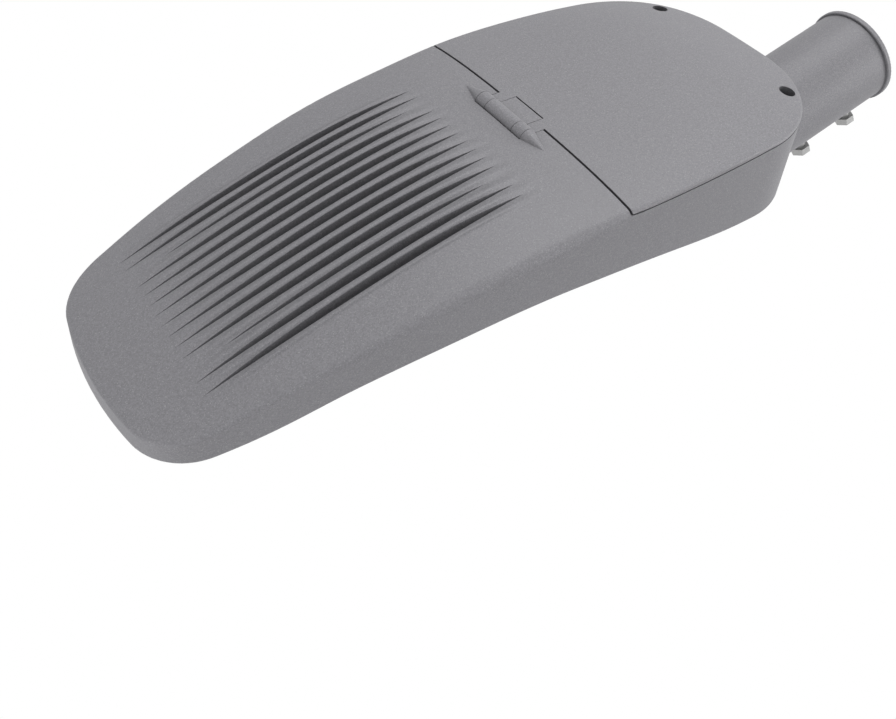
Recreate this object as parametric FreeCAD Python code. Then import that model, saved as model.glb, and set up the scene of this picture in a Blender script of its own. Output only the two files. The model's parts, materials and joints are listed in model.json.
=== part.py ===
import FreeCAD
import Part
import os
from math import cos, radians, sin, sqrt

Vector = FreeCAD.Vector

# Street light head, in millimetres. The origin is the centre of the spigot mouth,
# +X runs from the nose to the spigot, +Z is up, and the cover's parting plane is level.

# Head outline in plan: a blunt nose, long bowed sides and a square rear with large corners
head_length = 465.5
head_half_width = 99.0
rear_wall_x = -136.0
widest_from_rear = 184.0
nose_bow_radius = 230.0
nose_corner_radius = 40.0
side_bow_radius = 1300.0
rear_corner_radius = 75.0

# Head outline from the side: crown line of the deck and lower rim of the walls
parting_height = 48.3
crown_line = [(-612.0, -19.0), (-580.0, -5.0), (-540.0, 10.3), (-480.0, 30.5), (-420.0, 46.6),
              (-360.0, 55.0), (-300.0, 56.2), (-240.0, 59.0), (-200.0, 59.6), (-165.0, 56.0),
              (-125.0, 49.5)]
crown_half_span = 90.0
crown_flatness = 0.4
crown_drop_line = [(-612.0, 15.0), (-563.0, 12.0), (-521.0, 9.0), (-479.0, 8.6), (-436.0, 8.0),
                   (-392.0, 7.8), (-358.0, 6.6), (-324.0, 4.4), (-280.0, 4.5), (-240.0, 6.2),
                   (-200.0, 8.6), (-165.0, 8.5), (-125.0, 8.0)]
rim_line = [(-612.0, -30.0), (-590.0, -28.5), (-565.0, -25.5), (-530.0, -18.0), (-498.0, -8.7),
            (-465.0, -1.8), (-430.0, 3.4), (-393.0, 7.2), (-369.0, 8.0), (-340.0, 7.0), (-307.0, 4.6),
            (-270.0, 0.0), (-227.0, -6.0), (-196.0, -8.6), (-156.0, -11.8), (-125.0, -14.0)]
crisp_shoulder = 2.3
soft_shoulder = [(-480.0, 5.0), (-400.0, 7.5), (-345.0, 7.0), (-310.0, 3.0)]
rim_radius = 2.0

# Cooling grooves on the front deck
groove_count = 14
groove_pitch = 8.72
groove_width = 5.8
groove_depth = 7.5
groove_front_x = -558.0
groove_rear_x = -370.0
groove_fan = 0.014
shallow_grooves = (2, 11)
shallow_rise = 2.2

# Cover, its hinge, seams and screws
seam_x = -324.3
seam_gap = 1.6
tongue_reach = 5.8
notch_gap = 1.0
bay_front_step = 7.5
parting_gap = 0.8
cover_wall = 3.0
cover_rim_width = 9.0
hinge_x = -336.5
hinge_height = 54.6
hinge_offset = 3.1
barrel_radius = 5.6
knuckle_half_width = 13.0
hinge_half_width = 22.0
hinge_side_gap = 0.3
hinge_front_gap = 0.6
hinge_pin_radius = 2.0
hinge_pin_clearance = 0.05
hinge_fairing = 16.0
cover_screw_x = -158.7
cover_screw_y = 59.0
cover_screw_radius = 2.5
cover_screw_head_radius = 4.4
cover_screw_head_height = 2.4
cover_screw_grip = 5.0
cover_screw_clearance = 0.8
cover_well_radius = 5.4
cover_well_wall = 1.4
cover_well_depth = 7.8
cover_well_floor = 2.0
cover_well_clearance = 0.8
cover_boss_radius = 13.5
gasket_inset = 2.4
gasket_width = 2.5
gasket_depth = 3.0
gasket_detour = 9.2
gasket_clearance = 0.2

# Gear bay in the rear of the housing
bay_wall = 8.0
floor_thickness = 4.0
tray_height = 14.0
tray_thickness = 2.0
tray_front_x = -306.0
tray_rear_x = -200.0
tray_half_width = 78.0
tray_boss_radius = 5.0
screw_m4_radius = 2.0
screw_m3_radius = 1.5
thread_clearance = 0.05
driver_width = 60.0
driver_half_length = 60.0
driver_height = 26.0
driver_lug = 11.0
gear_gap = 5.0
terminal_width = 26.0
terminal_height = 20.0
terminal_pitch = 11.0
terminal_count = 5
arrester_length = 44.0
arrester_height = 24.0
duct_radius = 4.5
duct_height = 37.5
duct_y = 40.0
gland_x = -180.0
gland_radius = 10.0
gland_flange_radius = 13.0
gland_boss_radius = 16.0
gland_cable_radius = 5.0
earth_x = -176.0
earth_y = 52.0
vent_x = -285.0
vent_y = 50.0
vent_radius = 5.0
vent_head_radius = 8.0
vent_head_height = 2.5

# Light window in the underside, square to a plane that slopes down to the nose
window_slope = 9.6
window_mid_x = -460.0
window_height = -4.6
window_rear_x = -330.0
bezel_inset = 7.5
bezel_lip = 2.0
bezel_seat = 5.5
bezel_overlap = 5.0
bezel_clearance = 0.3
bezel_screw_inset = 12.0
bezel_screw_stations = [-555.0, -500.0, -430.0, -362.0]
glass_inset = 17.0
glass_thickness = 4.0
light_inset = 23.0
board_front_margin = 4.40868
lens_dome_base = 7.6
lens_dome_height = 2.8
lens_dome_radius = 5.5
lens_thickness = 2.0
board_level = 11.4
board_thickness = 1.6
board_length = 84.0
board_side_margin = 41.0
board_gap = 4.0
board_rear_margin = 9.0
led_rows = 4
led_columns = 6
led_pitch_x = 19.0
led_side_margin = 13.0
led_side = 3.5
led_height = 1.0
pad_thickness = 0.4
heat_plate_thickness = 4.0
heat_plate_ledge = 6.0
deck_wall = 12.0

# Spigot for a 60 mm bracket arm, on a saddle bolted under the housing
pole_diameter = 60.0
pole_clearance = 1.0
spigot_wall = 4.0
spigot_tilt = 15.5
spigot_bore_depth = 118.0
spigot_lip_height = 1.8
spigot_lip_width = 4.0
saddle_pad_height = -16.0
saddle_gasket = 1.5
saddle_plate = 8.0
saddle_front_x = -252.0
saddle_rear_x = -160.0
saddle_half_width = 38.0
saddle_margin = 10.0
saddle_boss_radius = 7.0
saddle_boss_height = 18.0
saddle_bolt_radius = 3.0
saddle_bolt_length = 20.0
washer_radius = 6.0
washer_thickness = 1.6
neck_length = 215.0
wall_clearance = 1.5
keel_rear_x = -98.0
keel_rear_height = -61.5
wire_way_radius = 11.0
wire_way_rise = 3.0
wire_way_length = 58.0
wire_way_drop = 26.0
clamp_screw_angle = 15.0
clamp_screw_first = 15.5
clamp_screw_pitch = 47.5
clamp_screw_radius = 4.0
clamp_screw_length = 16.0
clamp_screw_flats = 13.0
clamp_screw_head = 5.3
clamp_screw_standoff = 0.3

bore_radius = pole_diameter/2+pole_clearance
spigot_radius = bore_radius+spigot_wall
board_half_width = head_half_width-board_side_margin
led_pitch_y = 2*(board_half_width-led_side_margin)/(led_columns-1)
nose_x = rear_wall_x-head_length
cover_front_x = seam_x+seam_gap/2
deck_rear_x = seam_x-seam_gap/2
cover_base = parting_height+parting_gap/2
rim_top = parting_height-parting_gap/2
bay_front_x = seam_x+bay_front_step
tongue_rear_x = seam_x+tongue_reach
well_base = cover_base-cover_well_depth
well_radius = cover_well_radius+cover_well_wall
well_pocket_radius = well_radius+cover_well_clearance
well_pocket_floor = well_base-parting_gap/2
high = 110.0
low = -90.0
wide = 130.0


def block(x0, x1, y0, y1, z0, z1):
    return Part.makeBox(x1-x0, y1-y0, z1-z0, Vector(x0, y0, z0))


def rod(radius, length, x, y, z, direction=Vector(0, 0, 1)):
    return Part.makeCylinder(radius, length, Vector(x, y, z), direction)


def hexagon(flats, height, x, y, z):
    corner = flats/sqrt(3)
    points = []
    for k in range(7):
        points.append(Vector(x+corner*cos(radians(60*k)), y+corner*sin(radians(60*k)), z))
    return Part.Face(Part.makePolygon(points)).extrude(Vector(0, 0, height))


def fused(solids):
    return solids[0].multiFuse(solids[1:]).removeSplitter()


def save(shape, node):
    shape.exportStep("parts/"+node+".step")


# The plan outline is five tangent arcs a side, worked out from the driving radii
side_centre = Vector(rear_wall_x-widest_from_rear, head_half_width-side_bow_radius, 0)
nose_centre = Vector(nose_x+nose_bow_radius, 0, 0)


def nose_corner_centre():
    apart = nose_centre-side_centre
    to_nose = nose_bow_radius-nose_corner_radius
    to_side = side_bow_radius-nose_corner_radius
    along = (apart.Length**2+to_side**2-to_nose**2)/(2*apart.Length)
    across = sqrt(to_side**2-along**2)
    unit = apart/apart.Length
    return side_centre+unit*along+Vector(-unit.y, unit.x, 0)*across


def rear_corner_centre():
    x = rear_wall_x-rear_corner_radius
    reach = side_bow_radius-rear_corner_radius
    return Vector(x, side_centre.y+sqrt(reach**2-(x-side_centre.x)**2), 0)


def beyond(centre, radius, source):
    ray = centre-source
    return centre+ray*(radius/ray.Length)


def arc_middle(centre, radius, start, end):
    ray = (start+end)/2-centre
    return centre+ray*(radius/ray.Length)


def half_width(x, inset=0.0):
    """Half width of the head on its bowed side."""
    return side_centre.y+sqrt((side_bow_radius-inset)**2-(x-side_centre.x)**2)


def side_point(x, inset):
    return Vector(x, half_width(x, inset), 0)


def plan_wire(inset, height):
    nose_corner = nose_corner_centre()
    rear_corner = rear_corner_centre()
    nose_arc = nose_corner_radius-inset
    rear_arc = rear_corner_radius-inset
    tip = Vector(nose_x+inset, 0, 0)
    nose_end = beyond(nose_corner, nose_arc, nose_centre)
    side_start = beyond(nose_corner, nose_arc, side_centre)
    side_end = beyond(rear_corner, rear_arc, side_centre)
    rear_start = Vector(rear_wall_x-inset, rear_corner.y, 0)
    stops = [side_start]+[side_point(x, inset) for x, radius in soft_shoulder]+[side_end]
    arcs = [(nose_end, arc_middle(nose_corner, nose_arc, nose_end, side_start), side_start)]
    for start, end in zip(stops, stops[1:]):
        arcs.append((start, arc_middle(side_centre, side_bow_radius-inset, start, end), end))
    arcs.append((side_end, arc_middle(rear_corner, rear_arc, side_end, rear_start), rear_start))

    def at(point, side):
        return Vector(point.x, side*point.y, height)

    far = [Part.Arc(at(a, 1), at(b, 1), at(c, 1)).toShape() for a, b, c in arcs]
    near = [Part.Arc(at(c, -1), at(b, -1), at(a, -1)).toShape() for a, b, c in reversed(arcs)]
    rear = Part.makeLine(at(rear_start, 1), at(rear_start, -1))
    nose = Part.Arc(at(nose_end, -1), at(tip, 1), at(nose_end, 1)).toShape()
    return Part.Wire(far+[rear]+near+[nose])


def plan_prism(inset):
    return Part.Face(plan_wire(inset, low)).extrude(Vector(0, 0, high-low))


# The deck is arched lengthwise and slightly crowned across, and the rim follows a second line
def side_curve(stations):
    curve = Part.BSplineCurve()
    curve.interpolate([Vector(x, 0, z) for x, z in stations])
    return curve


crown_curve = side_curve(crown_line)
drop_curve = side_curve(crown_drop_line)
rim_curve = side_curve(rim_line)


def height_on(curve, x):
    start = curve.FirstParameter
    end = curve.LastParameter
    for step in range(40):
        middle = (start+end)/2
        if curve.value(middle).x < x:
            start = middle
        else:
            end = middle
    return curve.value(start).z


def deck_height(x, y=0.0):
    share = (y/crown_half_span)**2
    return height_on(crown_curve, x)-height_on(drop_curve, x)*share*(1+crown_flatness*(share-1))


def rim_height(x):
    return height_on(rim_curve, x)


def under_deck(drop=0.0):
    x0 = crown_line[0][0]
    x1 = crown_line[-1][0]
    spans = 14
    reach = head_half_width+6
    rows = []
    for i in range(spans+1):
        x = x0+(x1-x0)*i/spans
        across = [reach*(j/3-1) for j in range(7)]
        rows.append([Vector(x, y, deck_height(x, y)-drop) for y in across])
    surface = Part.BSplineSurface()
    surface.interpolate(rows)
    return surface.toShape().extrude(Vector(0, 0, 2*low))


def above_rim(rise=0.0):
    curve = rim_curve.copy()
    curve.translate(Vector(0, -wide, rise))
    start = curve.value(curve.FirstParameter)
    end = curve.value(curve.LastParameter)
    high_end = Vector(end.x, end.y, high)
    high_start = Vector(start.x, start.y, high)
    lines = [Part.makeLine(end, high_end), Part.makeLine(high_end, high_start)]
    lines.append(Part.makeLine(high_start, start))
    face = Part.Face(Part.Wire([curve.toShape()]+lines))
    return face.extrude(Vector(0, 2*wide, 0))


def edges_at(shape, height_at):
    found = []
    for edge in shape.Edges:
        middle = edge.valueAt((edge.FirstParameter+edge.LastParameter)/2)
        if abs(middle.z-height_at(middle.x, middle.y)) < 0.8:
            found.append(edge)
    return found


def shoulder_at(x):
    """Shoulder radius at a corner of the outline: soft on the deck's sides, crisp round the rest."""
    for station, radius in soft_shoulder:
        if abs(x-station) < 1:
            return radius
    return crisp_shoulder


def rounded_shoulder(solid):
    """The deck's outer edge with its growing and shrinking radius: one half is rounded, then mirrored."""
    half = solid.common(block(nose_x-1, 0, -wide, 0, low, high))
    loop = []
    for number, edge in enumerate(half.Edges, 1):
        middle = edge.valueAt((edge.FirstParameter+edge.LastParameter)/2)
        if middle.y < -1 and abs(middle.z-deck_height(middle.x, middle.y)) < 0.8:
            first = edge.valueAt(edge.FirstParameter)
            last = edge.valueAt(edge.LastParameter)
            loop.append((number, shoulder_at(first.x), shoulder_at(last.x)))
    document = FreeCAD.newDocument("head")
    base = document.addObject("Part::Feature", "sharp")
    base.Shape = half
    rounding = document.addObject("Part::Fillet", "rounded")
    rounding.Base = base
    rounding.Edges = loop
    document.recompute()
    near = rounding.Shape
    return fused([near, near.mirror(Vector(0, 0, 0), Vector(0, 1, 0))])


def head_envelope():
    solid = rounded_shoulder(plan_prism(0.0).common(under_deck()))
    solid = solid.common(above_rim())
    return solid.makeFillet(rim_radius, edges_at(solid, lambda x, y: rim_height(x)))


def rear_loop(inset):
    """Plan of the rear compartment, moved in by an even inset on all four sides."""
    return plan_prism(inset).common(block(bay_front_x+inset, 0, -wide, wide, low, high))


def gasket_loop(inset, detour):
    """The rear compartment's plan, drawn in round the two cover screws."""
    loop = rear_loop(inset)
    for side in (-1, 1):
        loop = loop.cut(rod(detour, high-low, cover_screw_x, side*cover_screw_y, low))
    return loop


def gasket_ring(bottom, top):
    ring = gasket_loop(gasket_inset, gasket_detour)
    ring = ring.cut(gasket_loop(gasket_inset+gasket_width, gasket_detour+gasket_width))
    return ring.common(block(seam_x, 0, -wide, wide, bottom, top))


def hinge_rod(radius, y0, y1):
    return rod(radius, y1-y0, hinge_x, hinge_offset+y0, hinge_height, Vector(0, 1, 0))


# Light window: pieces are stacked by level above the glass's outer face
def tilted(shape):
    placed = shape.copy()
    placed.rotate(Vector(0, 0, 0), Vector(0, 1, 0), -window_slope)
    placed.translate(Vector(window_mid_x, 0, window_height))
    return placed


def slab(level0, level1):
    return tilted(block(-300, 300, -wide, wide, level0, level1))


def window_prism(inset):
    return plan_prism(inset).common(block(nose_x, window_rear_x-inset, -wide, wide, low, high))


def window_layer(inset, level0, level1):
    return window_prism(inset).common(slab(level0, level1))


def along_window(x):
    return (x-window_mid_x)/cos(radians(window_slope))


def bezel_screw_places():
    places = [(along_window(nose_x+bezel_screw_inset), 0.0)]
    for x in bezel_screw_stations:
        y = half_width(x, bezel_screw_inset)
        places += [(along_window(x), y), (along_window(x), -y)]
    rear = along_window(window_rear_x-bezel_screw_inset)
    return places+[(rear, 32.0), (rear, -32.0)]


def board_centres():
    rear = along_window(window_rear_x-light_inset-board_rear_margin)-board_length/2
    return {"rear": rear, "front": rear-board_length-board_gap}


def light_front_x():
    """Front end of the space behind the glass, a margin before the front board."""
    edge = board_centres()["front"]-board_length/2
    return window_mid_x+edge*cos(radians(window_slope))-board_front_margin


def board_screw_places(centre):
    u = board_length/2-5.0
    v = board_half_width-5.0
    return [(centre+a*u, b*v) for a in (-1, 1) for b in (-1, 1)]


def groove_cutters():
    overrun = 12.0
    rise = groove_depth+4.0
    half_top = groove_width/2*rise/groove_depth
    cutters = []
    for k in range(groove_count):
        y = (k-(groove_count-1)/2)*groove_pitch
        front_height = deck_height(groove_front_x, y)
        slope = (deck_height(groove_rear_x, y)-front_height)/(groove_rear_x-groove_front_x)
        start = front_height-0.4+(shallow_rise if k in shallow_grooves else 0.0)
        sections = []
        for x in (groove_front_x-overrun, groove_rear_x+overrun):
            z = start+slope*(x-groove_front_x)
            spread = y*(1+groove_fan*(x-(groove_front_x+groove_rear_x)/2)/100)
            left = Vector(x, spread-half_top, z+rise)
            right = Vector(x, spread+half_top, z+rise)
            sections.append(Part.makePolygon([left, Vector(x, spread, z), right, left]))
        cutters.append(Part.makeLoft(sections, True, True))
    return cutters


def saddle_bolt_places():
    xs = (saddle_front_x+saddle_margin, saddle_rear_x-saddle_margin)
    y = saddle_half_width-saddle_margin
    return [(x, side*y) for x in xs for side in (-1, 1)]


def tray_screw_places():
    xs = (tray_front_x+8.0, tray_rear_x-8.0)
    return [(x, side*(tray_half_width-8.0)) for x in xs for side in (-1, 1)]


def gear_layout():
    """Front and rear edges of the driver row and of the terminal row on the tray."""
    driver_front = tray_front_x+3.0
    driver_rear = driver_front+driver_width
    terminal_front = driver_rear+gear_gap
    return driver_front, driver_rear, terminal_front, terminal_front+terminal_width


envelope = head_envelope()


def hinge_pocket():
    front = hinge_x-barrel_radius-hinge_front_gap
    floor = hinge_height-barrel_radius-hinge_front_gap
    y_in = knuckle_half_width
    y_out = hinge_half_width+hinge_side_gap
    cuts = [block(front, hinge_x, hinge_offset-y_in, hinge_offset+y_in, floor, high)]
    for y0, y1 in ((-y_out, -y_in), (y_in, y_out)):
        cuts.append(block(front, deck_rear_x, hinge_offset+y0, hinge_offset+y1, floor, high))
    return fused(cuts)


def housing_pads():
    """Cast pads and bosses that grow out of the bay floor."""
    half = saddle_half_width+4
    pad = block(saddle_front_x-4, saddle_rear_x+4, -half, half, saddle_pad_height, 4)
    pads = [pad.common(plan_prism(bay_wall)).cut(above_rim(floor_thickness))]
    for x, y in saddle_bolt_places():
        pads.append(rod(saddle_boss_radius, saddle_boss_height, x, y, saddle_pad_height))
    for x, y in tray_screw_places():
        floor = rim_height(x)+0.5
        pads.append(rod(tray_boss_radius, tray_height-floor, x, y, floor))
    pads.append(rod(gland_boss_radius, 1.0-saddle_pad_height, gland_x, 0, saddle_pad_height))
    for side in (-1, 1):
        floor = rim_height(cover_screw_x)+1.0
        boss = rod(cover_boss_radius, rim_top-floor, cover_screw_x, side*cover_screw_y, floor)
        pads.append(boss.common(plan_prism(2.0)))
    earth_floor = rim_height(earth_x)+0.5
    pads.append(rod(tray_boss_radius, tray_height-earth_floor, earth_x, earth_y, earth_floor))
    return pads


def make_housing():
    lid_space = block(deck_rear_x, 0, -wide, wide, rim_top, high)
    tongue_y0 = hinge_offset-knuckle_half_width
    tongue_y1 = hinge_offset+knuckle_half_width
    tongue = block(deck_rear_x-1, tongue_rear_x, tongue_y0, tongue_y1, rim_top-1, high)
    solid = envelope.cut(lid_space.cut(tongue))
    bay = rear_loop(bay_wall).common(above_rim(floor_thickness))
    solid = solid.cut(bay)
    solid = solid.cut(hinge_pocket())
    fairings = []
    for side in (-1, 1):
        start = Vector(hinge_x, hinge_offset+side*(hinge_half_width+hinge_side_gap), hinge_height)
        fairings.append(Part.makeCone(barrel_radius, 0.8, hinge_fairing, start, Vector(0, side, 0)))
    knuckle = hinge_rod(barrel_radius, -knuckle_half_width, knuckle_half_width)
    solid = fused([solid, knuckle]+fairings+housing_pads())
    solid = solid.cut(hinge_rod(hinge_pin_radius+hinge_pin_clearance, -hinge_half_width, hinge_half_width))
    cuts = groove_cutters()
    cuts.append(gasket_ring(rim_top-gasket_depth, high))
    cuts.append(window_layer(bezel_inset-bezel_clearance, -20, bezel_seat))
    cuts.append(window_layer(light_inset, bezel_seat-1, bezel_seat+3))
    light_space = block(light_front_x(), 0, -wide, wide, low, high)
    heat_top = board_level+board_thickness+pad_thickness+heat_plate_thickness
    cuts.append(window_layer(light_inset, bezel_seat, heat_top).common(light_space))
    cavity = window_layer(light_inset+heat_plate_ledge, heat_top-1, 90).common(under_deck(deck_wall))
    cuts.append(cavity.common(light_space))
    for u, v in bezel_screw_places():
        cuts.append(tilted(rod(screw_m4_radius+thread_clearance, 7.0, u, v, bezel_seat-1)))
    cuts.append(rod(duct_radius, 60.0, seam_x-40.0, duct_y, duct_height, Vector(1, 0, 0)))
    for x, y in saddle_bolt_places():
        depth = saddle_boss_height-4.0
        cuts.append(rod(saddle_bolt_radius+thread_clearance, depth, x, y, saddle_pad_height-1))
    for x, y in tray_screw_places()+[(earth_x, earth_y)]:
        cuts.append(rod(screw_m4_radius+thread_clearance, 9.0, x, y, tray_height-8.0))
    cuts.append(rod(gland_radius+thread_clearance, 40.0, gland_x, 0, saddle_pad_height-1))
    for side in (-1, 1):
        depth = cover_screw_grip+4.0
        hole = cover_screw_radius+cover_screw_clearance
        cuts.append(rod(well_pocket_radius, 20.0, cover_screw_x, side*cover_screw_y, well_pocket_floor))
        cuts.append(rod(hole, depth+1, cover_screw_x, side*cover_screw_y, well_pocket_floor-depth))
    vent_seat = rim_height(vent_x)+1.5
    cuts.append(rod(vent_head_radius+0.5, 20.0, vent_x, vent_y, vent_seat-20.0))
    cuts.append(rod(vent_radius+thread_clearance, 20.0, vent_x, vent_y, vent_seat-5.0))
    for cutter in cuts:
        solid = solid.cut(cutter)
    return solid


def make_cover():
    solid = envelope.common(block(cover_front_x, 0, -wide, wide, cover_base, high))
    solid = solid.cut(rear_loop(cover_rim_width).common(under_deck(cover_wall)))
    notch_y0 = hinge_offset-knuckle_half_width-hinge_side_gap
    notch_y1 = hinge_offset+knuckle_half_width+hinge_side_gap
    notch = block(seam_x-10, tongue_rear_x+notch_gap, notch_y0, notch_y1, cover_base-5, high)
    bosses = []
    for side in (-1, 1):
        boss = rod(cover_boss_radius, 20.0, cover_screw_x, side*cover_screw_y, cover_base)
        bosses.append(boss.common(envelope))
        well_tube = rod(well_radius, cover_well_depth+1, cover_screw_x, side*cover_screw_y, well_base)
        bosses.append(well_tube)
    ears = []
    for side in (-1, 1):
        inner = knuckle_half_width+hinge_side_gap
        y0, y1 = sorted((side*inner, side*hinge_half_width))
        ears.append(hinge_rod(barrel_radius, y0, y1))
        arm = block(hinge_x, cover_front_x+6, hinge_offset+y0, hinge_offset+y1, cover_base+1.2, high)
        ears.append(arm.common(envelope))
    solid = fused([solid.cut(notch)]+bosses+ears)
    solid = solid.cut(hinge_rod(hinge_pin_radius, -hinge_half_width-1, hinge_half_width+1))
    for side in (-1, 1):
        y = side*cover_screw_y
        solid = solid.cut(rod(cover_well_radius, 30.0, cover_screw_x, y, well_base+cover_well_floor))
        solid = solid.cut(rod(cover_screw_radius+0.2, 30.0, cover_screw_x, y, well_base-5))
    return solid


def make_cover_screw(side):
    y = side*cover_screw_y
    seat = well_base+cover_well_floor
    length = seat-(well_pocket_floor-cover_screw_grip)
    shank = rod(cover_screw_radius, length, cover_screw_x, y, seat-length)
    head = rod(cover_screw_head_radius, cover_screw_head_height, cover_screw_x, y, seat)
    socket = hexagon(4.0, 3.0, cover_screw_x, y, seat+cover_screw_head_height-1.6)
    return fused([shank, head]).cut(socket)


def make_cover_gasket():
    return gasket_ring(rim_top-gasket_depth, cover_base-gasket_clearance)


def make_pan_screws(places, radius, length, seat, head_radius, head_height, turned=None):
    """A set of like screws whose heads stand above their seats, or below them when turned over."""
    screws = []
    for x, y in places:
        shank = rod(radius, length, x, y, seat-length)
        head = rod(head_radius, head_height, x, y, seat)
        slot = block(x-head_radius, x+head_radius, y-0.4, y+0.4, seat+head_height*0.5, seat+head_height)
        screw = fused([shank, head]).cut(slot)
        if turned:
            screw = turned(screw, x, y, seat)
        screws.append(screw)
    return Part.makeCompound(screws)


def heads_down(screw, x, y, seat):
    flipped = screw.copy()
    flipped.rotate(Vector(x, y, seat), Vector(1, 0, 0), 180)
    return flipped


def make_bezel():
    lip = window_layer(bezel_inset, -bezel_lip, 0)
    lip = lip.cut(window_layer(glass_inset+bezel_overlap, -bezel_lip-1, 1))
    wall = window_layer(bezel_inset, -0.5, bezel_seat)
    wall = wall.cut(window_layer(glass_inset-bezel_clearance, 0, bezel_seat+1))
    solid = fused([lip, wall])
    for u, v in bezel_screw_places():
        solid = solid.cut(tilted(rod(screw_m4_radius+0.2, 20.0, u, v, -10.0)))
    return solid


def make_glass_gasket():
    outer = window_layer(glass_inset, glass_thickness, bezel_seat)
    return outer.cut(window_layer(light_inset, glass_thickness-1, bezel_seat+1))


def light_plate(inset, level0, level1):
    layer = window_layer(inset, level0, level1)
    return layer.common(block(light_front_x()+1, 0, -wide, wide, low, high))


def make_lens_plate(centre):
    u0 = centre-board_length/2
    u1 = centre+board_length/2
    v = board_half_width
    rim = 2.0
    top = lens_dome_base+lens_thickness
    solids = [block(u0, u1, -v, v, lens_dome_base, top)]
    frame = block(u0, u1, -v, v, top, board_level)
    solids.append(frame.cut(block(u0+rim, u1-rim, -v+rim, v-rim, top, board_level)))
    for u, w in led_places(centre):
        cone = Part.makeCone(lens_dome_radius, lens_dome_radius*0.6, lens_dome_height,
                             Vector(u, w, lens_dome_base), Vector(0, 0, -1))
        solids.append(cone)
    plate = fused(solids)
    for u, w in board_screw_places(centre):
        plate = fused([plate, rod(3.2, board_level-top, u, w, top)])
        plate = plate.cut(rod(screw_m3_radius+0.2, 20.0, u, w, 0.0))
    return tilted(plate)


def led_places(centre):
    places = []
    for i in range(led_rows):
        for j in range(led_columns):
            u = centre+(i-(led_rows-1)/2)*led_pitch_x
            places.append((u, (j-(led_columns-1)/2)*led_pitch_y))
    return places


def make_led_packages(centre):
    half = led_side/2
    chips = []
    for u, v in led_places(centre):
        chips.append(tilted(block(u-half, u+half, v-half, v+half, board_level-led_height, board_level)))
    return Part.makeCompound(chips)


def make_board(centre, level0, level1):
    u0 = centre-board_length/2
    u1 = centre+board_length/2
    board = block(u0, u1, -board_half_width, board_half_width, level0, level1)
    for u, v in board_screw_places(centre):
        board = board.cut(rod(screw_m3_radius+0.2, 40.0, u, v, level0-5))
    return tilted(board)


def make_heat_plate():
    level = board_level+board_thickness+pad_thickness
    plate = light_plate(light_inset+bezel_clearance, level, level+heat_plate_thickness)
    for centre in board_centres().values():
        for u, v in board_screw_places(centre):
            plate = plate.cut(tilted(rod(screw_m3_radius+thread_clearance, 20.0, u, v, level-5)))
    return plate


def make_board_screws(centre):
    places = board_screw_places(centre)
    screws = make_pan_screws(places, screw_m3_radius, 9.0, lens_dome_base, 2.8, 2.0, heads_down)
    return tilted(screws)


def make_bezel_screws():
    screws = make_pan_screws(bezel_screw_places(), screw_m4_radius, 13.0, -bezel_lip, 3.6, 2.4, heads_down)
    return tilted(screws)


def make_tray():
    top = tray_height+tray_thickness
    plate = block(tray_front_x, tray_rear_x, -tray_half_width, tray_half_width, tray_height, top)
    plate = plate.common(plan_prism(bay_wall+1.0))
    for x, y in tray_screw_places():
        plate = plate.cut(rod(screw_m4_radius+0.2, 20.0, x, y, tray_height-5))
    for x, y in driver_screw_places():
        plate = plate.cut(rod(screw_m4_radius+thread_clearance, 20.0, x, y, tray_height-5))
    return plate


def driver_screw_places():
    front, rear, terminal_front, terminal_rear = gear_layout()
    y = driver_half_length+driver_lug/2
    return [((front+rear)/2, -y), ((front+rear)/2, y)]


def make_driver():
    front, rear, terminal_front, terminal_rear = gear_layout()
    base = tray_height+tray_thickness
    case = block(front, rear, -driver_half_length, driver_half_length, base, base+driver_height)
    case = case.makeFillet(2.5, [edge for edge in case.Edges if edge.BoundBox.ZMin > base+1])
    lugs = []
    for side in (-1, 1):
        y0, y1 = sorted((side*(driver_half_length-2), side*(driver_half_length+driver_lug)))
        lugs.append(block(front+18, rear-18, y0, y1, base, base+2.5))
    solid = fused([case]+lugs)
    for x, y in driver_screw_places():
        solid = solid.cut(rod(screw_m4_radius+0.2, 20.0, x, y, base-5))
    return solid


def make_terminal_block():
    front, rear, terminal_front, terminal_rear = gear_layout()
    base = tray_height+tray_thickness
    length = terminal_count*terminal_pitch
    solid = block(terminal_front, terminal_rear, 0, length, base, base+terminal_height*0.6)
    solid = solid.fuse(block(terminal_front+6, terminal_rear-6, 0, length, base, base+terminal_height))
    for k in range(terminal_count):
        y = (k+0.5)*terminal_pitch
        for x in (terminal_front, terminal_rear-8):
            solid = solid.cut(block(x-1, x+9, y-2.5, y+2.5, base+3, base+8))
        solid = solid.cut(rod(2.6, 10.0, (terminal_front+terminal_rear)/2, y, base+terminal_height-6))
    return solid.removeSplitter()


def make_terminal_screws():
    front, rear, terminal_front, terminal_rear = gear_layout()
    base = tray_height+tray_thickness+terminal_height-6
    screws = []
    for k in range(terminal_count):
        y = (k+0.5)*terminal_pitch
        x = (terminal_front+terminal_rear)/2
        screw = rod(2.5, 3.0, x, y, base)
        screws.append(screw.cut(block(x-2.5, x+2.5, y-0.4, y+0.4, base+2, base+3)))
    return Part.makeCompound(screws)


def make_surge_protector():
    front, rear, terminal_front, terminal_rear = gear_layout()
    base = tray_height+tray_thickness
    near = -gear_gap-arrester_length
    solid = block(terminal_front, terminal_rear, near, -gear_gap, base, base+arrester_height)
    return solid.makeFillet(2.0, [edge for edge in solid.Edges if edge.BoundBox.ZMin > base+1])


def make_gland_body():
    thread = rod(gland_radius, 14.0, gland_x, 0, 1.0-14.0)
    flange = hexagon(gland_flange_radius*1.8, 6.0, gland_x, 0, 1.0)
    collar = rod(gland_radius, 5.0, gland_x, 0, 7.0)
    return fused([thread, flange, collar]).cut(rod(gland_cable_radius+1.5, 60.0, gland_x, 0, -30))


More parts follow.
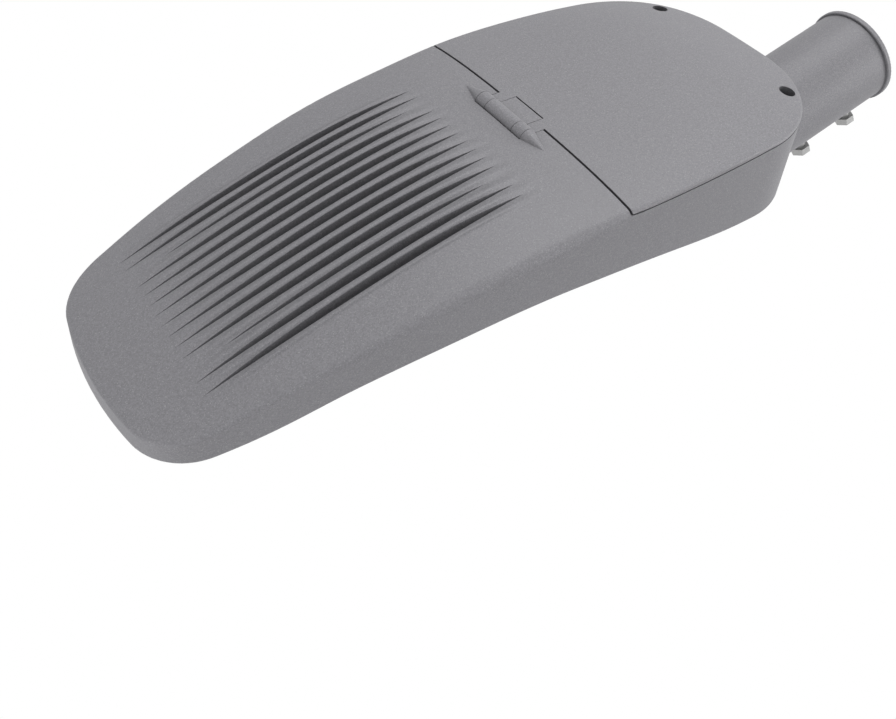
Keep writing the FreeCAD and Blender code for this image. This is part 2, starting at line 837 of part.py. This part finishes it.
def make_gland_cap():
    cap = hexagon(gland_flange_radius*1.7, 6.0, gland_x, 0, 7.4)
    dome = Part.makeCone(gland_radius+0.8, gland_cable_radius+2.5, 6.0, Vector(gland_x, 0, 13.4))
    solid = fused([cap, dome])
    solid = solid.cut(rod(gland_radius+thread_clearance, 7.4, gland_x, 0, 5.0))
    return solid.cut(rod(gland_cable_radius+0.5, 40.0, gland_x, 0, 0))


def make_gland_seal():
    seal = rod(gland_cable_radius+1.4, 8.0, gland_x, 0, 4.3)
    return seal.cut(rod(gland_cable_radius, 20.0, gland_x, 0, 0))


def make_vent():
    seat = rim_height(vent_x)+1.5
    head = rod(vent_head_radius, vent_head_height, vent_x, vent_y, seat-vent_head_height)
    return fused([head, rod(vent_radius, 8.0, vent_x, vent_y, seat-1)])


# Spigot: modelled along its own axis, then pitched up towards the mouth
def pitched(shape):
    placed = shape.copy()
    placed.rotate(Vector(0, 0, 0), Vector(0, 1, 0), -spigot_tilt)
    return placed


def clamp_screw_direction():
    turn = radians(clamp_screw_angle)
    return Vector(0, -sin(turn), -cos(turn))


def clamp_screw_places():
    return [-clamp_screw_first, -clamp_screw_first-clamp_screw_pitch]


def make_neck():
    """The tube carried on under the head, cleared around the rear wall and sliced flat below."""
    tube = pitched(rod(spigot_radius, neck_length, -neck_length, 0, 0, Vector(1, 0, 0)))
    top = saddle_pad_height-saddle_gasket
    tube = tube.cut(block(-300, rear_wall_x+wall_clearance, -wide, wide, top, high))
    tube = tube.cut(block(-300, saddle_front_x+saddle_margin, -wide, wide, low*2, high))
    keel = [(keel_rear_x, keel_rear_height), (saddle_front_x, top-saddle_plate), (saddle_front_x, low*2),
            (keel_rear_x, low*2), (keel_rear_x, keel_rear_height)]
    points = [Vector(x, -wide, z) for x, z in keel]
    return tube.cut(Part.Face(Part.makePolygon(points)).extrude(Vector(0, 2*wide, 0)))


def make_spigot():
    lip = rod(spigot_radius+spigot_lip_height, spigot_lip_width, -spigot_lip_width, 0, 0, Vector(1, 0, 0))
    lip = lip.makeFillet(0.8, [edge for edge in lip.Edges if abs(edge.Length-6.2832*lip.BoundBox.ZMax) < 1])
    top = saddle_pad_height-saddle_gasket
    half = saddle_half_width
    plate = block(saddle_front_x, saddle_rear_x, -half, half, top-saddle_plate, top)
    plate = plate.makeFillet(8.0, [edge for edge in plate.Edges if edge.Length < saddle_plate+0.1])
    solid = fused([make_neck(), pitched(lip), plate])
    ahead = Vector(1, 0, 0)
    bore = rod(bore_radius, spigot_bore_depth+5, -spigot_bore_depth, 0, 0, ahead)
    way_start = -spigot_bore_depth-wire_way_length
    way = rod(wire_way_radius, wire_way_length+4, way_start, 0, wire_way_rise, ahead)
    solid = solid.cut(pitched(bore)).cut(pitched(way))
    solid = solid.cut(rod(wire_way_radius+2, wire_way_drop, gland_x, 0, top-wire_way_drop))
    for x, y in saddle_bolt_places():
        solid = solid.cut(rod(saddle_bolt_radius+0.3, 40.0, x, y, top-30))
        solid = solid.cut(rod(washer_radius+1.5, 40.0, x, y, top-saddle_plate-40))
    for x in clamp_screw_places():
        direction = clamp_screw_direction()
        start = direction*(bore_radius-3)
        hole = rod(clamp_screw_radius+thread_clearance, 12.0, x, start.y, start.z, direction)
        solid = solid.cut(pitched(hole))
    return solid


def make_clamp_screw(x):
    shank = rod(clamp_screw_radius, clamp_screw_length, 0, 0, 0)
    head = hexagon(clamp_screw_flats, clamp_screw_head, 0, 0, clamp_screw_length)
    crown_base = Vector(0, 0, clamp_screw_length+clamp_screw_head)
    crown = Part.makeCone(clamp_screw_flats/2, clamp_screw_flats/2-1, 0.6, crown_base)
    screw = fused([shank, head, crown])
    direction = clamp_screw_direction()
    start = direction*(bore_radius+clamp_screw_standoff)
    turn = FreeCAD.Rotation(Vector(0, 0, 1), direction)
    screw.Placement = FreeCAD.Placement(Vector(x, start.y, start.z), turn)
    return pitched(screw)


def make_saddle_gasket():
    x0 = saddle_front_x+2
    x1 = saddle_rear_x-2
    half = saddle_half_width-2
    ring = block(x0, x1, -half, half, saddle_pad_height-saddle_gasket, saddle_pad_height)
    ring = ring.cut(rod(wire_way_radius+2, 10.0, gland_x, 0, saddle_pad_height-5))
    for x, y in saddle_bolt_places():
        ring = ring.cut(rod(saddle_bolt_radius+0.5, 10.0, x, y, saddle_pad_height-5))
    return ring


def make_saddle_bolts():
    bolts = []
    seat = saddle_pad_height-saddle_gasket-saddle_plate-washer_thickness
    for x, y in saddle_bolt_places():
        shank = rod(saddle_bolt_radius, saddle_bolt_length, x, y, seat)
        bolts.append(fused([shank, hexagon(10.0, 4.0, x, y, seat-4.0)]))
    return Part.makeCompound(bolts)


def make_saddle_washers():
    washers = []
    seat = saddle_pad_height-saddle_gasket-saddle_plate-washer_thickness
    for x, y in saddle_bolt_places():
        washer = rod(washer_radius, washer_thickness, x, y, seat)
        washers.append(washer.cut(rod(saddle_bolt_radius+0.2, 10.0, x, y, seat-5)))
    return Part.makeCompound(washers)


os.makedirs("parts", exist_ok=True)
save(make_housing(), "housing")
save(make_cover(), "gear_cover")
save(hinge_rod(hinge_pin_radius, -hinge_half_width, hinge_half_width), "hinge_pin")
save(make_cover_screw(-1), "cover_screw_near")
save(make_cover_screw(1), "cover_screw_far")
save(make_cover_gasket(), "cover_gasket")
save(make_bezel(), "window_bezel")
save(make_bezel_screws(), "bezel_screws")
save(window_layer(glass_inset, 0, glass_thickness), "window_glass")
save(make_glass_gasket(), "glass_gasket")
save(make_heat_plate(), "heat_plate")
for end, centre in board_centres().items():
    pad_level = board_level+board_thickness
    save(make_lens_plate(centre), "lens_plate_"+end)
    save(make_led_packages(centre), "led_packages_"+end)
    save(make_board(centre, board_level, pad_level), "led_board_"+end)
    save(make_board(centre, pad_level, pad_level+pad_thickness), "thermal_pad_"+end)
    save(make_board_screws(centre), "board_screws_"+end)
save(make_tray(), "gear_tray")
tray_top = tray_height+tray_thickness
save(make_pan_screws(tray_screw_places(), screw_m4_radius, 8.0, tray_top, 3.6, 2.4), "tray_screws")
save(make_driver(), "led_driver")
save(make_pan_screws(driver_screw_places(), screw_m4_radius, 4.0, tray_top+2.5, 3.6, 2.4), "driver_screws")
save(make_terminal_block(), "terminal_block")
save(make_terminal_screws(), "terminal_screws")
save(make_surge_protector(), "surge_protector")
save(make_pan_screws([(earth_x, earth_y)], screw_m4_radius, 7.0, tray_height, 4.4, 2.6), "earth_screw")
save(make_gland_body(), "gland_body")
save(make_gland_cap(), "gland_cap")
save(make_gland_seal(), "gland_seal")
save(make_vent(), "breather_vent")
save(make_spigot(), "spigot")
save(make_saddle_gasket(), "saddle_gasket")
save(make_saddle_bolts(), "saddle_bolts")
save(make_saddle_washers(), "saddle_washers")
front_screw, rear_screw = [make_clamp_screw(x) for x in clamp_screw_places()]
save(front_screw, "clamp_screw_outer")
save(rear_screw, "clamp_screw_inner")
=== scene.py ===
import bmesh
import bpy
import json
from math import pi, radians
from mathutils import Matrix, Vector


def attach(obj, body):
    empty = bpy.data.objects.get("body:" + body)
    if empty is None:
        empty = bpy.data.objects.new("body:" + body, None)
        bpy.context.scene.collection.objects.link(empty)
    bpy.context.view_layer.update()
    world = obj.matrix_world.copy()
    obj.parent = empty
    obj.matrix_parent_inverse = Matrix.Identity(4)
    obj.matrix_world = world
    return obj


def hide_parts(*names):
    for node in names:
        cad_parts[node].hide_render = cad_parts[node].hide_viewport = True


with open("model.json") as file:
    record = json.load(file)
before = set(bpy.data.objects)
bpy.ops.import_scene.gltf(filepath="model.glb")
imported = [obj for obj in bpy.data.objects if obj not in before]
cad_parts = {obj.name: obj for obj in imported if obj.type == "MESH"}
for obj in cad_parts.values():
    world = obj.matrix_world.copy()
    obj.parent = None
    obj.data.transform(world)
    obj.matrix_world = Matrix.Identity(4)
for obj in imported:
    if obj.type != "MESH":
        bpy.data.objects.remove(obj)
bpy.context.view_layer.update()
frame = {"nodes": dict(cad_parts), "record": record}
print("stage: frame loaded")


# Camera fitted to the photograph
camera = {
    "position": (-0.6783, -0.3977, 0.4199),
    "right": (0.83024, -0.55458, 0.05606),
    "forward": (0.45228, 0.61146, -0.64926),
    "sensorWidth": 36.0,
    "lens": 43.190,
    "shift": (0.0144, -0.1557),
    "clip": (0.02, 50.0),
}


def makeCamera(s):
    data = bpy.data.cameras.new("photo_camera")
    data.sensor_width = s["sensorWidth"]
    data.lens = s["lens"]
    data.shift_x, data.shift_y = s["shift"]
    data.clip_start, data.clip_end = s["clip"]
    right = Vector(s["right"]).normalized()
    back = -Vector(s["forward"]).normalized()
    up = back.cross(right).normalized()
    right = up.cross(back).normalized()
    turn = Matrix((right, up, back)).transposed().to_4x4()
    obj = bpy.data.objects.new("photo_camera", data)
    obj.matrix_world = Matrix.Translation(Vector(s["position"])) @ turn
    bpy.context.scene.collection.objects.link(obj)
    bpy.context.scene.camera = obj


makeCamera(camera)


# Studio: a white floor far below, white surroundings and soft round lights
studio = {
    "floorHeight": -1.1,
    "floorSize": 14.0,
    "paperShade": 0.86,
    "paperRoughness": 0.9,
    "skyStrength": 0.36,
    "lights": [  # name, place, what it faces, width, watts
        ("key_light", (0.4, 0.2, 1.9), (-0.3, 0.0, 0.0), 1.2, 20.0),
        ("near_light", (-0.3, -2.0, 0.2), (-0.3, 0.0, 0.0), 1.3, 1.5),
        ("rear_light", (1.6, -1.2, 0.3), (-0.1, 0.0, 0.0), 1.0, 19.0),
        ("nose_light", (-2.3, -0.5, -0.2), (-0.5, 0.0, 0.0), 1.2, 13.0),
    ],
}


def whiteToCamera(tree, shading):
    # White where it is looked at straight, in a mirror or through glass,
    # and the given shading for all other light
    path = tree.nodes.new("ShaderNodeLightPath")
    seen = path.outputs["Is Camera Ray"]
    for kind in ("Is Transmission Ray", "Is Glossy Ray"):
        most = tree.nodes.new("ShaderNodeMath")
        most.operation = "MAXIMUM"
        tree.links.new(seen, most.inputs[0])
        tree.links.new(path.outputs[kind], most.inputs[1])
        seen = most.outputs[0]
    isSky = shading.bl_idname == "ShaderNodeBackground"
    white = tree.nodes.new("ShaderNodeBackground" if isSky else "ShaderNodeEmission")
    white.inputs["Color"].default_value = (1, 1, 1, 1)
    white.inputs["Strength"].default_value = 1.0
    mix = tree.nodes.new("ShaderNodeMixShader")
    tree.links.new(seen, mix.inputs[0])
    tree.links.new(shading.outputs[0], mix.inputs[1])
    tree.links.new(white.outputs[0], mix.inputs[2])
    return mix


def makeSky(s):
    world = bpy.data.worlds.new("studio_sky")
    bpy.context.scene.world = world
    world.use_nodes = True
    tree = world.node_tree
    sky = tree.nodes["Background"]
    sky.inputs["Color"].default_value = (1, 1, 1, 1)
    sky.inputs["Strength"].default_value = s["skyStrength"]
    mix = whiteToCamera(tree, sky)
    tree.links.new(mix.outputs[0], tree.nodes["World Output"].inputs["Surface"])


def makeFloor(s):
    half = s["floorSize"]/2
    corners = [(-half, -half, 0), (half, -half, 0), (half, half, 0), (-half, half, 0)]
    mesh = bpy.data.meshes.new("studio_floor")
    mesh.from_pydata(corners, [], [(0, 1, 2, 3)])
    floor = bpy.data.objects.new("studio_floor", mesh)
    floor.location = (0, 0, s["floorHeight"])
    bpy.context.scene.collection.objects.link(floor)
    paper = bpy.data.materials.new("studio_paper")
    paper.use_nodes = True
    tree = paper.node_tree
    matt = tree.nodes["Principled BSDF"]
    matt.inputs["Base Color"].default_value = (*[s["paperShade"]]*3, 1)
    matt.inputs["Roughness"].default_value = s["paperRoughness"]
    mix = whiteToCamera(tree, matt)
    tree.links.new(mix.outputs[0], tree.nodes["Material Output"].inputs["Surface"])
    mesh.materials.append(paper)


def makeLights(s):
    for name, place, target, size, power in s["lights"]:
        data = bpy.data.lights.new(name, "AREA")
        data.shape = "DISK"
        data.size = size
        data.energy = power
        lamp = bpy.data.objects.new(name, data)
        lamp.location = place
        lamp.rotation_euler = (Vector(target)-Vector(place)).to_track_quat("-Z", "Y").to_euler()
        bpy.context.scene.collection.objects.link(lamp)


makeSky(studio)
makeFloor(studio)
makeLights(studio)
bpy.context.scene.view_settings.view_transform = "Standard"
print("stage: camera and studio")


def newMaterial(name, metallic=0.0, roughness=0.5):
    material = bpy.data.materials.new(name)
    material.use_nodes = True
    shader = material.node_tree.nodes["Principled BSDF"]
    shader.inputs["Metallic"].default_value = metallic
    shader.inputs["Roughness"].default_value = roughness
    return material, material.node_tree, shader


def objectPoint(tree):
    return tree.nodes.new("ShaderNodeTexCoord").outputs["Object"]


def noise(tree, point, scale, detail=2.0, roughness=0.5):
    node = tree.nodes.new("ShaderNodeTexNoise")
    node.inputs["Scale"].default_value = scale
    node.inputs["Detail"].default_value = detail
    node.inputs["Roughness"].default_value = roughness
    tree.links.new(point, node.inputs["Vector"])
    return node.outputs["Fac"]


def flakes(tree, point, scale):
    # One random grey for each small cell
    node = tree.nodes.new("ShaderNodeTexVoronoi")
    node.inputs["Scale"].default_value = scale
    tree.links.new(point, node.inputs["Vector"])
    split = tree.nodes.new("ShaderNodeSeparateColor")
    tree.links.new(node.outputs["Color"], split.inputs[0])
    return split.outputs[0]


def spread(tree, value, low, high):
    node = tree.nodes.new("ShaderNodeMapRange")
    node.inputs["To Min"].default_value = low
    node.inputs["To Max"].default_value = high
    tree.links.new(value, node.inputs["Value"])
    return node.outputs[0]


def fadeOut(tree, value, start, end):
    node = tree.nodes.new("ShaderNodeMapRange")
    node.interpolation_type = "SMOOTHSTEP"
    node.inputs["From Min"].default_value = start
    node.inputs["From Max"].default_value = end
    node.inputs["To Min"].default_value = 1.0
    node.inputs["To Max"].default_value = 0.0
    tree.links.new(value, node.inputs["Value"])
    return node.outputs[0]


def combine(tree, operation, first, second=0.0):
    node = tree.nodes.new("ShaderNodeMath")
    node.operation = operation
    for socket, value in zip(node.inputs, (first, second)):
        if isinstance(value, (int, float)):
            socket.default_value = value
        else:
            tree.links.new(value, socket)
    return node.outputs[0]


def weighted(tree, parts):
    # Sum of values, each times its weight
    total = None
    for value, weight in parts:
        share = combine(tree, "MULTIPLY", value, weight)
        total = share if total is None else combine(tree, "ADD", total, share)
    return total


def tint(tree, value, dark, light):
    node = tree.nodes.new("ShaderNodeMix")
    node.data_type = "RGBA"
    node.inputs[6].default_value = (*dark, 1)
    node.inputs[7].default_value = (*light, 1)
    tree.links.new(value, node.inputs[0])
    return node.outputs[2]


def bump(tree, shader, height, distance):
    node = tree.nodes.new("ShaderNodeBump")
    node.inputs["Distance"].default_value = distance
    node.inputs["Strength"].default_value = 1.0
    tree.links.new(height, node.inputs["Height"])
    tree.links.new(node.outputs[0], shader.inputs["Normal"])
    return node


# Fine textured grey powder coat: dark and light grains, a few lighter metal flakes, and painted
# shade darkening it in grooves, seams and creases
coat = {
    "dark": (0.192, 0.189, 0.202),
    "light": (0.333, 0.328, 0.350),
    "flake": (0.365, 0.362, 0.38),
    "grainScale": 1500.0,
    "grainShare": 0.5,
    "peelScale": 1100.0,
    "peelShare": 0.42,
    "patchScale": 11.0,
    "patchShare": 0.08,
    "flakeScale": 2400.0,
    "flakeFrom": 0.962,
    "creaseReach": 0.007,
    "creaseShade": 0.42,
    "creaseSamples": 8,
    "roughness": (0.48, 0.66),
    "metallic": 0.1,
    "bumpDepth": 0.00012,
    "bumpGrain": 0.4,
}

# Soft rounding of the fins between the cooling grooves,
# faded out at both ends, beside the outermost grooves and below the deck
fins = {
    "pitch": 0.00872,
    "fan": 0.14,
    "middle": -0.464,
    "reach": 0.094,
    "fade": 0.034,
    "halfWidth": 0.0605,
    "underDeck": (0.012, 0.02),
    "height": 0.0011,
}


def finRelief(tree, point, s):
    # A wave across the deck that follows the fanned grooves, with its crests on the fins
    split = tree.nodes.new("ShaderNodeSeparateXYZ")
    tree.links.new(point, split.inputs[0])
    along = combine(tree, "SUBTRACT", split.outputs["X"], s["middle"])
    widening = combine(tree, "ADD", combine(tree, "MULTIPLY", along, s["fan"]), 1.0)
    across = combine(tree, "DIVIDE", split.outputs["Y"], widening)
    wave = combine(tree, "COSINE", combine(tree, "MULTIPLY", across, 2*pi/s["pitch"]))
    fromMiddle = combine(tree, "ABSOLUTE", along)
    ends = fadeOut(tree, fromMiddle, s["reach"]-s["fade"], s["reach"]+s["fade"]/2)
    fromCentre = combine(tree, "ABSOLUTE", across)
    sides = fadeOut(tree, fromCentre, s["halfWidth"], s["halfWidth"]+s["pitch"]/2)
    depth = combine(tree, "MULTIPLY", split.outputs["Z"], -1.0)
    deck = fadeOut(tree, depth, *s["underDeck"])
    mask = combine(tree, "MULTIPLY", combine(tree, "MULTIPLY", ends, sides), deck)
    return combine(tree, "MULTIPLY", combine(tree, "MULTIPLY", wave, mask), s["height"])


def coatShade(tree, point, grain, peel, s):
    # Grains, peel and wide patches first, then the flakes over them
    patch = noise(tree, point, s["patchScale"])
    parts = [(grain, s["grainShare"]), (peel, s["peelShare"]), (patch, s["patchShare"])]
    ground = tint(tree, weighted(tree, parts), s["dark"], s["light"])
    bright = combine(tree, "GREATER_THAN", flakes(tree, point, s["flakeScale"]), s["flakeFrom"])
    layer = tree.nodes.new("ShaderNodeMix")
    layer.data_type = "RGBA"
    layer.inputs[7].default_value = (*s["flake"], 1)
    tree.links.new(bright, layer.inputs[0])
    tree.links.new(ground, layer.inputs[6])
    return layer.outputs[2]


def paintCreaseShade(tree, colour, s):
    # Painted shade: an ambient occlusion node darkens the colour where the surface is hemmed in,
    # in grooves, seams and creases
    crease = tree.nodes.new("ShaderNodeAmbientOcclusion")
    crease.samples = s["creaseSamples"]
    crease.inputs["Distance"].default_value = s["creaseReach"]
    darkened = tree.nodes.new("ShaderNodeVectorMath")
    darkened.operation = "SCALE"
    tree.links.new(colour, darkened.inputs[0])
    shade = spread(tree, crease.outputs["AO"], s["creaseShade"], 1.0)
    tree.links.new(shade, darkened.inputs["Scale"])
    return darkened.outputs[0]


def powderCoat(name, s, relief=None):
    material, tree, shader = newMaterial(name, s["metallic"])
    point = objectPoint(tree)
    grain = flakes(tree, point, s["grainScale"])
    peel = noise(tree, point, s["peelScale"], detail=3.0, roughness=0.6)
    # The grains and flakes get painted shade in the grooves, seams and creases
    colour = paintCreaseShade(tree, coatShade(tree, point, grain, peel, s), s)
    tree.links.new(colour, shader.inputs["Base Color"])
    tree.links.new(spread(tree, grain, *s["roughness"]), shader.inputs["Roughness"])
    height = combine(tree, "ADD", peel, combine(tree, "MULTIPLY", grain, s["bumpGrain"]))
    fine = bump(tree, shader, height, s["bumpDepth"])
    if relief:
        wide = tree.nodes.new("ShaderNodeBump")
        wide.inputs["Distance"].default_value = 1.0
        tree.links.new(finRelief(tree, point, relief), wide.inputs["Height"])
        tree.links.new(wide.outputs[0], fine.inputs["Normal"])
    return material


# Dull zinc on the screws, with fine dark spots
zinc = {
    "dark": (0.27, 0.27, 0.27),
    "light": (0.46, 0.46, 0.455),
    "grainScale": 1100.0,
    "roughness": (0.38, 0.58),
    "bumpDepth": 0.00006,
}


def zincPlate(name, s):
    material, tree, shader = newMaterial(name, 1.0)
    point = objectPoint(tree)
    cloud = noise(tree, point, s["grainScale"], detail=4.0, roughness=0.6)
    tree.links.new(tint(tree, cloud, s["dark"], s["light"]), shader.inputs["Base Color"])
    tree.links.new(spread(tree, cloud, *s["roughness"]), shader.inputs["Roughness"])
    bump(tree, shader, cloud, s["bumpDepth"])
    return material


# Grained surfaces: dark and light colour, roughness, metallic, grain scale and depth of relief
plain = {
    "black_steel": ((0.010, 0.010, 0.011), (0.032, 0.032, 0.034), 0.45, 0.6, 1200.0, 0.00005),
    "bezel_paint": ((0.19, 0.19, 0.195), (0.29, 0.29, 0.30), 0.5, 0.1, 1100.0, 0.0001),
    "pin_steel": ((0.36, 0.36, 0.36), (0.52, 0.52, 0.52), 0.32, 1.0, 900.0, 0.00004),
    "board_screw_steel": ((0.4, 0.4, 0.4), (0.58, 0.58, 0.58), 0.3, 1.0, 900.0, 0.00004),
    "seal_rubber": ((0.012, 0.012, 0.012), (0.035, 0.035, 0.035), 0.75, 0.0, 800.0, 0.0001),
    "led_yellow": ((0.75, 0.55, 0.08), (0.9, 0.75, 0.22), 0.4, 0.0, 1500.0, 0.00005),
    "board_white": ((0.72, 0.72, 0.71), (0.82, 0.82, 0.81), 0.35, 0.0, 500.0, 0.00003),
    "pad_grey": ((0.25, 0.27, 0.30), (0.34, 0.36, 0.39), 0.7, 0.0, 700.0, 0.00008),
    "plate_aluminium": ((0.58, 0.58, 0.59), (0.72, 0.72, 0.73), 0.35, 1.0, 300.0, 0.00004),
    "driver_case": ((0.62, 0.62, 0.61), (0.7, 0.7, 0.69), 0.45, 0.0, 700.0, 0.00006),
    "terminal_plastic": ((0.74, 0.72, 0.64), (0.82, 0.80, 0.73), 0.42, 0.0, 600.0, 0.00004),
    "terminal_brass": ((0.55, 0.40, 0.16), (0.72, 0.56, 0.27), 0.3, 1.0, 900.0, 0.00004),
    "arrester_plastic": ((0.06, 0.065, 0.07), (0.10, 0.105, 0.11), 0.4, 0.0, 700.0, 0.00005),
    "gland_plastic": ((0.015, 0.015, 0.016), (0.04, 0.04, 0.042), 0.45, 0.0, 900.0, 0.00007),
    "vent_plastic": ((0.02, 0.02, 0.02), (0.05, 0.05, 0.05), 0.5, 0.0, 900.0, 0.00007),
}

# How the grain and the wide patches of those surfaces are mixed
grainMix = {
    "cloudShare": 0.7,
    "patchShare": 0.3,
    "patchWidth": 40,
    "dullest": 1.15,
    "glossiest": 0.85,
}


def grained(name, dark, light, roughness, metallic, scale, depth):
    s = grainMix
    material, tree, shader = newMaterial(name, metallic)
    point = objectPoint(tree)
    cloud = noise(tree, point, scale, detail=3.0, roughness=0.6)
    patch = noise(tree, point, scale/s["patchWidth"])
    shade = weighted(tree, [(cloud, s["cloudShare"]), (patch, s["patchShare"])])
    tree.links.new(tint(tree, shade, dark, light), shader.inputs["Base Color"])
    rough = spread(tree, patch, roughness*s["glossiest"], roughness*s["dullest"])
    tree.links.new(rough, shader.inputs["Roughness"])
    bump(tree, shader, cloud, depth)
    return material


# Clear glass and clear moulded lenses, with a thin uneven film on them
clear = {
    "window_glass": {"colour": (0.93, 0.97, 0.96), "roughness": 0.03, "ior": 1.5},
    "lens_clear": {"colour": (0.95, 0.96, 0.97), "roughness": 0.06, "ior": 1.49},
}
film = {
    "scale": 26.0,
    "shade": 0.97,
    "clean": 0.5,
    "dull": 1.6,
}


def letLightThrough(tree, shader):
    # Light reaches the parts behind it, and only what is seen through it is bent
    path = tree.nodes.new("ShaderNodeLightPath")
    lit = combine(tree, "MAXIMUM", path.outputs["Is Shadow Ray"], path.outputs["Is Diffuse Ray"])
    through = tree.nodes.new("ShaderNodeBsdfTransparent")
    mix = tree.nodes.new("ShaderNodeMixShader")
    tree.links.new(lit, mix.inputs[0])
    tree.links.new(shader.outputs[0], mix.inputs[1])
    tree.links.new(through.outputs[0], mix.inputs[2])
    tree.links.new(mix.outputs[0], tree.nodes["Material Output"].inputs["Surface"])


def clearMaterial(name, s):
    material, tree, shader = newMaterial(name)
    shader.inputs["IOR"].default_value = s["ior"]
    shader.inputs["Transmission Weight"].default_value = 1.0
    cloud = noise(tree, objectPoint(tree), film["scale"], detail=3.0)
    filmed = tuple(c*film["shade"] for c in s["colour"])
    tree.links.new(tint(tree, cloud, s["colour"], filmed), shader.inputs["Base Color"])
    rough = spread(tree, cloud, s["roughness"]*film["clean"], s["roughness"]*film["dull"])
    tree.links.new(rough, shader.inputs["Roughness"])
    letLightThrough(tree, shader)
    return material


made = {
    "cast_body": powderCoat("cast_body_coat", coat),
    "finned_body": powderCoat("finned_body_coat", coat, fins),
    "zinc_screws": zincPlate("zinc_plate", zinc),
}
for key, values in plain.items():
    made[key] = grained(key+"_surface", *values)
for key, values in clear.items():
    made[key] = clearMaterial(key+"_surface", values)

slotOf = {entry["node"]: entry["material_slot"] for entry in frame["record"]["subparts"]}
# Both cover screws get the near-black steel surface, which leaves their wells dark
slotOf.update(cover_screw_near="black_steel", cover_screw_far="black_steel", housing="finned_body")
for node, obj in frame["nodes"].items():
    for holder in obj.material_slots:
        holder.material = made[slotOf[node]]
print("stage: materials")


# Window frame: the solid leaves a thin sheet over the glass, and this one is open there
windowFrame = {
    "origin": (-0.460, 0.0, -0.0046),
    "slope": 9.6,
    "sheet": 0.0005,
    "near": 0.00003,
    "merge": 0.000001,
    "sharp": 30.0,
}


def openSheet(work, levelOf, normal, s):
    # Both faces of the sheet go, the opening's edge rises to the lip's top,
    # and the lip's top is closed again
    def isFlat(face, level):
        return all(abs(levelOf(vertex)-level) < s["near"] for vertex in face.verts)

    sheet = [face for face in work.faces if isFlat(face, -s["sheet"]) or isFlat(face, 0.0)]
    bmesh.ops.delete(work, geom=sheet, context="FACES")
    openEdges = [edge for edge in work.edges if edge.is_boundary]
    rim = {v for edge in openEdges for v in edge.verts if abs(levelOf(v)+s["sheet"]) < s["near"]}
    for vertex in rim:
        vertex.co += normal*s["sheet"]
    bmesh.ops.triangle_fill(work, edges=openEdges, use_beauty=True)
    bmesh.ops.recalc_face_normals(work, faces=work.faces)


def openWindowFrame(node, s):
    place = node.matrix_world.copy()
    origin = Vector(s["origin"])
    turn = Matrix.Rotation(radians(s["slope"]), 3, "Y")
    normal = place.to_3x3().inverted() @ turn.transposed() @ Vector((0, 0, 1))

    def levelOf(vertex):  # height over the lip's top, square to the window
        return (turn @ (place @ vertex.co-origin)).z

    work = bmesh.new()
    work.from_mesh(node.data)
    bmesh.ops.remove_doubles(work, verts=work.verts, dist=s["merge"])
    openSheet(work, levelOf, normal, s)
    for face in work.faces:
        face.smooth = True
    for edge in work.edges:
        edge.smooth = edge.is_manifold and edge.calc_face_angle() < radians(s["sharp"])
    print("window frame: open edges", sum(not edge.is_manifold for edge in work.edges))
    mesh = bpy.data.meshes.new("open_window_frame")
    work.to_mesh(mesh)
    work.free()
    piece = bpy.data.objects.new("open_window_frame", mesh)
    bpy.context.scene.collection.objects.link(piece)
    piece.matrix_world = place
    mesh.materials.append(made["bezel_paint"])
    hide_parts("window_bezel")
    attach(piece, "body")


openWindowFrame(frame["nodes"]["window_bezel"], windowFrame)
print("stage: window frame")

print("stage: done")
